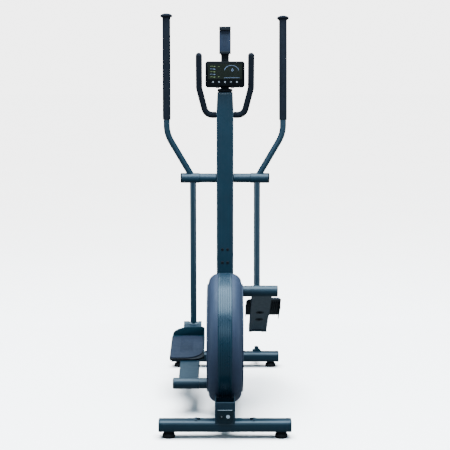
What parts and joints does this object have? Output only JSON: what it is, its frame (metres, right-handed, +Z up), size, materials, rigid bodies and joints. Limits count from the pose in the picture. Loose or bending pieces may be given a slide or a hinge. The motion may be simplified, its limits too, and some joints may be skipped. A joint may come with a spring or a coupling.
{
  "type": "elliptical trainer",
  "caption": "Rear-drive elliptical cross trainer with disc housing, swinging handlebars, pedal arms on crank discs, fixed U handlebar, console and phone clamp.",
  "frame": {"origin": "on the floor, under the middle of the whole machine at rest", "axes": "+X to the right of a user who stands on the pedals facing the console, +Y towards the mast end (the machine's front), +Z up"},
  "size_m": [0.6, 1.14, 1.699],
  "materials": {
    "teal_paint": "satin dark teal powder coat with slight metallic sheen",
    "slate_plastic": "fine-grained matte slate blue moulding",
    "navy_foam": "matte closed-cell foam, near-black navy",
    "black_gloss": "gloss black",
    "screen": "dark display window",
    "black_plastic": "fine-grained matte black moulding",
    "black_rubber": "matte black rubber",
    "bright_steel": "zinc-plated machined steel",
    "flywheel_iron": "turned cast iron"
  },
  "bodies": {
    "frame": {"main_beam": "teal_paint", "rear_bracket": "teal_paint", "rear_cover": "black_plastic", "power_socket": "black_plastic", "rear_stabilizer": "teal_paint", "front_stabilizer": "teal_paint", "mast": "teal_paint", "mast_cap": "black_plastic", "pivot_axle": "teal_paint", "fixed_handlebar": "teal_paint", "fixed_grip_left": "navy_foam", "fixed_grip_right": "navy_foam", "console_housing": "black_gloss", "console_display": "screen", "console_neck": "black_plastic", "phone_stem": "black_plastic", "phone_cradle": "slate_plastic", "rim_band": "teal_paint", "left_shell": "slate_plastic", "right_shell": "slate_plastic", "axle_carrier": "bright_steel", "left_bearing": "bright_steel", "right_bearing": "bright_steel", "brake_motor": "black_plastic", "drive_belt": "black_rubber", "rear_left_foot": "black_rubber", "rear_right_foot": "black_rubber", "front_left_foot": "black_rubber", "front_right_foot": "black_rubber"},
    "crank": {"crank_axle": "bright_steel", "left_crank": "teal_paint", "right_crank": "teal_paint", "left_crank_disc": "slate_plastic", "right_crank_disc": "slate_plastic", "drive_pulley": "black_plastic"},
    "flywheel": {"flywheel": "flywheel_iron", "flywheel_axle": "bright_steel"},
    "brake_arm": {"magnet_bracket": "bright_steel"},
    "phone_jaw": {"phone_jaw": "black_plastic"},
    "key_1": {"key_1": "black_plastic"},
    "key_2": {"key_2": "black_plastic"},
    "key_3": {"key_3": "black_plastic"},
    "key_4": {"key_4": "black_plastic"},
    "key_5": {"key_5": "black_plastic"},
    "left_handlebar": {"left_handlebar": "teal_paint", "left_grip": "navy_foam"},
    "left_arm": {"left_pedal_arm": "teal_paint", "left_crank_pin": "bright_steel", "left_yoke_pin": "bright_steel", "left_foot_tray": "black_plastic", "left_foot_pad": "slate_plastic"},
    "left_roller": {"left_roller": "black_rubber"},
    "right_handlebar": {"right_handlebar": "teal_paint", "right_grip": "navy_foam"},
    "right_arm": {"right_pedal_arm": "teal_paint", "right_crank_pin": "bright_steel", "right_yoke_pin": "bright_steel", "right_foot_tray": "black_plastic", "right_foot_pad": "slate_plastic"},
    "right_roller": {"right_roller": "black_rubber"}
  },
  "joints": [
    {"name": "crank_spin", "type": "hinge", "parent": "frame", "child": "crank", "pos_m": [0, -0.25, 0.332], "axis": [1, 0, 0], "range_deg": [0, 90]},
    {"name": "flywheel_spin", "type": "hinge", "parent": "frame", "child": "flywheel", "pos_m": [0, -0.10905, 0.3833], "axis": [1, 0, 0], "range_deg": [0, 450]},
    {"name": "left_handlebar_swing", "type": "hinge", "parent": "frame", "child": "left_handlebar", "pos_m": [0, 0.383, 0.938], "axis": [1, 0, 0], "range_deg": [0, 16.52]},
    {"name": "left_arm_swing", "type": "hinge", "parent": "left_handlebar", "child": "left_arm", "pos_m": [-0.154, 0.37552, 0.23104], "axis": [1, 0, 0], "range_deg": [-32.05, 0]},
    {"name": "right_handlebar_swing", "type": "hinge", "parent": "frame", "child": "right_handlebar", "pos_m": [0, 0.383, 0.938], "axis": [1, 0, 0], "range_deg": [-10.7, 0]},
    {"name": "right_arm_swing", "type": "hinge", "parent": "right_handlebar", "child": "right_arm", "pos_m": [0.154, 0.30994, 0.23478], "axis": [1, 0, 0], "range_deg": [0, 32.01]},
    {"name": "brake_tilt", "type": "hinge", "parent": "frame", "child": "brake_arm", "pos_m": [0.038, -0.16186, 0.48263], "axis": [1, 0, 0], "range_deg": [0, 3]},
    {"name": "key_1_press", "type": "slide", "parent": "frame", "child": "key_1", "axis": [0, 0.9659, -0.2588], "range_m": [0, 0.001], "stiffness_N_per_m": 400, "springref_m": -0.0005},
    {"name": "key_2_press", "type": "slide", "parent": "frame", "child": "key_2", "axis": [0, 0.9659, -0.2588], "range_m": [0, 0.001], "stiffness_N_per_m": 400, "springref_m": -0.0005},
    {"name": "key_3_press", "type": "slide", "parent": "frame", "child": "key_3", "axis": [0, 0.9659, -0.2588], "range_m": [0, 0.001], "stiffness_N_per_m": 400, "springref_m": -0.0005},
    {"name": "key_4_press", "type": "slide", "parent": "frame", "child": "key_4", "axis": [0, 0.9659, -0.2588], "range_m": [0, 0.001], "stiffness_N_per_m": 400, "springref_m": -0.0005},
    {"name": "key_5_press", "type": "slide", "parent": "frame", "child": "key_5", "axis": [0, 0.9659, -0.2588], "range_m": [0, 0.001], "stiffness_N_per_m": 400, "springref_m": -0.0005},
    {"name": "jaw_slide", "type": "slide", "parent": "frame", "child": "phone_jaw", "axis": [0, 0, 1], "range_m": [0, 0.03], "stiffness_N_per_m": 80, "springref_m": -0.02},
    {"name": "left_roller_spin", "type": "hinge", "parent": "frame", "child": "left_roller", "pos_m": [-0.155, 0.544, 0.058], "axis": [1, 0, 0], "continuous": true},
    {"name": "right_roller_spin", "type": "hinge", "parent": "frame", "child": "right_roller", "pos_m": [0.155, 0.544, 0.058], "axis": [1, 0, 0], "continuous": true}
  ],
  "couplings": [
    {"joint": "flywheel_spin", "follows": "crank_spin", "ratio": 5},
    {"joint": "left_handlebar_swing", "follows": "crank_spin", "ratio": 0.18338},
    {"joint": "left_arm_swing", "follows": "crank_spin", "ratio": -0.35591},
    {"joint": "right_handlebar_swing", "follows": "crank_spin", "ratio": -0.11861},
    {"joint": "right_arm_swing", "follows": "crank_spin", "ratio": 0.35541}
  ]
}
